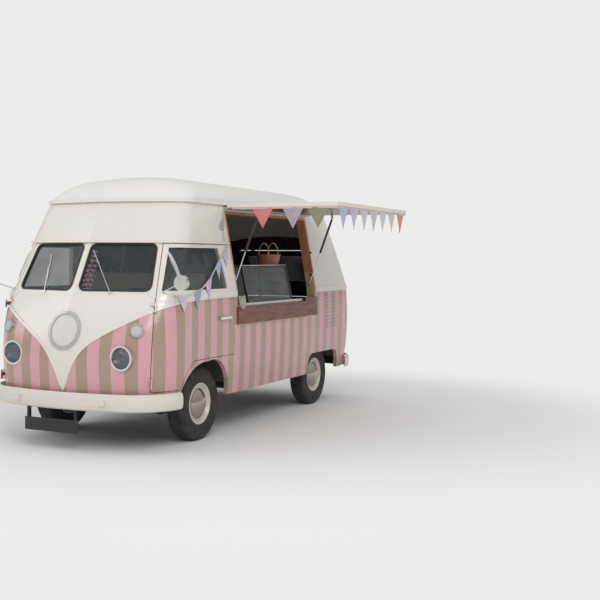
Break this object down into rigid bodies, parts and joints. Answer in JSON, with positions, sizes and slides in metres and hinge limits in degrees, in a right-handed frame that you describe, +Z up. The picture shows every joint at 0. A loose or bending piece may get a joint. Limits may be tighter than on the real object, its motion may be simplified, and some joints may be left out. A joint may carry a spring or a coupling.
{
  "type": "ice cream truck",
  "caption": "High-roof panel van with a split windscreen, a side hatch with a lifting flap on gas struts, a counter inside, hinged doors, and wheels that roll and steer.",
  "frame": {"origin": "on the ground, under the middle of the whole outline seen from above with the serving flap open", "axes": "-Y is the way the truck drives, +Y its rear, +X its left side with the serving hatch, +Z up"},
  "size_m": [2.894, 4.271, 2.2799],
  "materials": {
    "cream_paint": "satin",
    "striped_paint": "satin",
    "roof_paint": "satin",
    "chrome": "polished",
    "clear_glass": "clear",
    "lamp_glass": "ribbed",
    "tyre_rubber": "matt",
    "seal_rubber": "matt",
    "black_steel": "satin",
    "worn_metal": "rough",
    "interior_paint": "satin",
    "seat_cover": "woven",
    "hatch_wood": "varnished",
    "board_wood": "painted",
    "shelf_wood": "oiled",
    "steel_sheet": "brushed",
    "case_glass": "clear",
    "wicker": "woven",
    "bunting_cloth": "woven",
    "black_plastic": "matt"
  },
  "bodies": {
    "body": {"nose_panel": "striped_paint", "forehead_panel": "cream_paint", "left_side_panel": "striped_paint", "right_side_panel": "striped_paint", "rear_panel": "striped_paint", "roof_cap": "roof_paint", "headlamps": "chrome", "headlamp_lenses": "lamp_glass", "signal_lamps": "lamp_glass", "windscreen_panes": "clear_glass", "windscreen_seals": "seal_rubber", "wipers": "black_plastic", "front_roundel": "cream_paint", "pillar_bunting": "bunting_cloth", "front_bumper": "cream_paint", "rear_bumper": "cream_paint", "front_plate": "black_plastic", "front_axle_beam": "black_steel", "rear_axle": "worn_metal", "engine_block": "worn_metal", "chassis_frame": "black_steel", "load_floor": "interior_paint", "cab_floor": "interior_paint", "dashboard": "cream_paint", "steering_column": "black_steel", "seat": "seat_cover", "hatch_frame": "hatch_wood", "flap_hinge": "steel_sheet", "fascia_board": "board_wood", "counter": "steel_sheet", "display_case": "case_glass", "wall_shelves": "shelf_wood", "basket": "wicker"},
    "knuckle_left": {"knuckle_left": "black_steel"},
    "knuckle_right": {"knuckle_right": "black_steel"},
    "wheel_front_left": {"tyre_front_left": "tyre_rubber", "rim_front_left": "cream_paint"},
    "wheel_front_right": {"tyre_front_right": "tyre_rubber", "rim_front_right": "cream_paint"},
    "wheel_rear_left": {"tyre_rear_left": "tyre_rubber", "rim_rear_left": "cream_paint"},
    "wheel_rear_right": {"tyre_rear_right": "tyre_rubber", "rim_rear_right": "cream_paint"},
    "steering_wheel": {"steering_wheel": "black_plastic"},
    "left_door": {"left_door": "striped_paint", "left_door_glass": "clear_glass", "left_door_fittings": "chrome", "door_bunting": "bunting_cloth"},
    "right_door": {"right_door": "striped_paint", "right_door_glass": "clear_glass", "right_door_fittings": "chrome"},
    "cargo_door_front": {"cargo_door_front": "striped_paint"},
    "cargo_door_rear": {"cargo_door_rear": "striped_paint"},
    "serving_flap": {"serving_flap": "cream_paint", "bunting": "bunting_cloth"},
    "strut_cylinders": {"strut_cylinders": "black_plastic"},
    "strut_rods": {"strut_rods": "chrome"},
    "tailgate": {"tailgate": "cream_paint", "tailgate_glass": "clear_glass"},
    "engine_lid": {"engine_lid": "striped_paint"}
  },
  "joints": [
    {"name": "steer_left", "type": "hinge", "parent": "body", "child": "knuckle_left", "pos_m": [0.16, -1.1725, 0.316], "axis": [0, 0, 1], "range_deg": [-28, 28]},
    {"name": "steer_right", "type": "hinge", "parent": "body", "child": "knuckle_right", "pos_m": [-0.96, -1.1725, 0.316], "axis": [0, 0, 1], "range_deg": [-28, 28]},
    {"name": "steering_wheel_turn", "type": "hinge", "parent": "body", "child": "steering_wheel", "pos_m": [-0.04, -1.3963, 1.18873], "axis": [0, 0.5736, 0.8192], "range_deg": [-504, 504]},
    {"name": "roll_front_left", "type": "hinge", "parent": "knuckle_left", "child": "wheel_front_left", "pos_m": [0.287, -1.1725, 0.316], "axis": [1, 0, 0], "continuous": true},
    {"name": "roll_front_right", "type": "hinge", "parent": "knuckle_right", "child": "wheel_front_right", "pos_m": [-1.087, -1.1725, 0.316], "axis": [1, 0, 0], "continuous": true},
    {"name": "roll_rear_left", "type": "hinge", "parent": "body", "child": "wheel_rear_left", "pos_m": [0.287, 1.2275, 0.316], "axis": [1, 0, 0], "continuous": true},
    {"name": "roll_rear_right", "type": "hinge", "parent": "body", "child": "wheel_rear_right", "pos_m": [-1.087, 1.2275, 0.316], "axis": [1, 0, 0], "continuous": true},
    {"name": "left_door_swing", "type": "hinge", "parent": "body", "child": "left_door", "pos_m": [0.356, -1.8995, 0.8], "axis": [0, 0.0995, 0.995], "range_deg": [-70, 0]},
    {"name": "right_door_swing", "type": "hinge", "parent": "body", "child": "right_door", "pos_m": [-1.156, -1.8995, 0.8], "axis": [0, 0.0995, 0.995], "range_deg": [0, 70]},
    {"name": "cargo_front_swing", "type": "hinge", "parent": "body", "child": "cargo_door_front", "pos_m": [-1.288, -0.73, 1], "axis": [0, 0, 1], "range_deg": [0, 90]},
    {"name": "cargo_rear_swing", "type": "hinge", "parent": "body", "child": "cargo_door_rear", "pos_m": [-1.288, 0.495, 1], "axis": [0, 0, 1], "range_deg": [-90, 0]},
    {"name": "flap_lift", "type": "hinge", "parent": "body", "child": "serving_flap", "pos_m": [0.372, 0.0525, 2.012], "axis": [0, 1, 0], "range_deg": [0, 81], "deforming": ["bunting"]},
    {"name": "strut_swing", "type": "hinge", "parent": "serving_flap", "child": "strut_cylinders", "pos_m": [0.672, 0.0525, 1.982], "axis": [0, 1, 0], "range_deg": [-105.68, 0]},
    {"name": "strut_slide", "type": "slide", "parent": "strut_cylinders", "child": "strut_rods", "axis": [0.3517, 0, 0.9361], "range_m": [0, 0.31862]},
    {"name": "tailgate_lift", "type": "hinge", "parent": "body", "child": "tailgate", "pos_m": [-0.4, 1.87461, 1.661], "axis": [1, 0, 0], "range_deg": [0, 80]},
    {"name": "engine_lid_lift", "type": "hinge", "parent": "body", "child": "engine_lid", "pos_m": [-0.4, 2.07997, 0.888], "axis": [1, 0, 0], "range_deg": [0, 70]}
  ],
  "couplings": [
    {"joint": "steer_right", "follows": "steer_left", "ratio": 1},
    {"joint": "steering_wheel_turn", "follows": "steer_left", "ratio": 18},
    {"joint": "strut_swing", "follows": "flap_lift", "ratio": -1.2923},
    {"joint": "strut_slide", "follows": "flap_lift", "m_per_rad": 0.22467}
  ]
}
